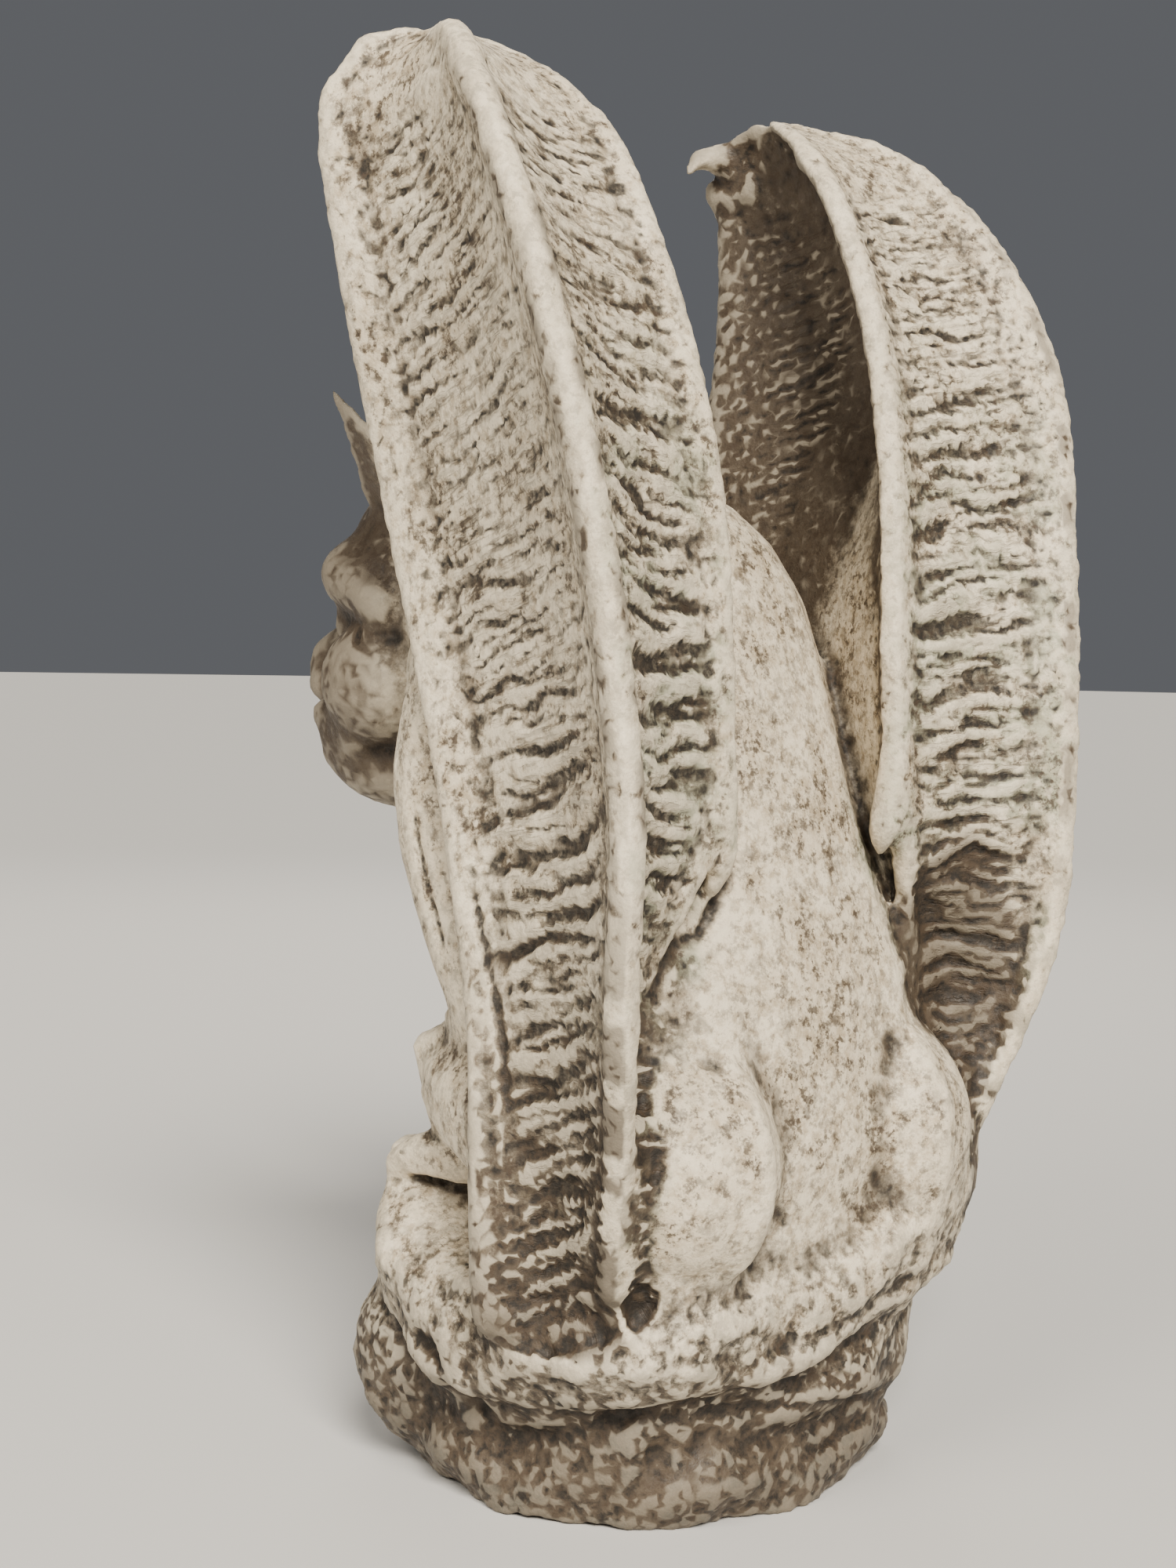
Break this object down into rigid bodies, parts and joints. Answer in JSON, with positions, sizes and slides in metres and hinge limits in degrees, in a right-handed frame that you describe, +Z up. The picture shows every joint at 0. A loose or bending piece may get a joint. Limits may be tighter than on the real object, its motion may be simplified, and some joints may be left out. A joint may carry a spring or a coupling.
{
  "type": "gargoyle statue",
  "caption": "Cast stone garden figure of a crouching gargoyle with tall folded wings on its own rock base, which stands by its weight.",
  "frame": {"origin": "on the flat underside of the rock, near its middle and in the figure's mirror plane", "axes": "+Z up, the figure faces -Y, its own left side is +X"},
  "size_m": [0.256, 0.2625, 0.4577],
  "materials": {
    "cast_stone": "matt pale cast stone with brown and black stain in the recesses"
  },
  "bodies": {
    "root": {"gargoyle": "cast_stone"}
  },
  "joints": []
}
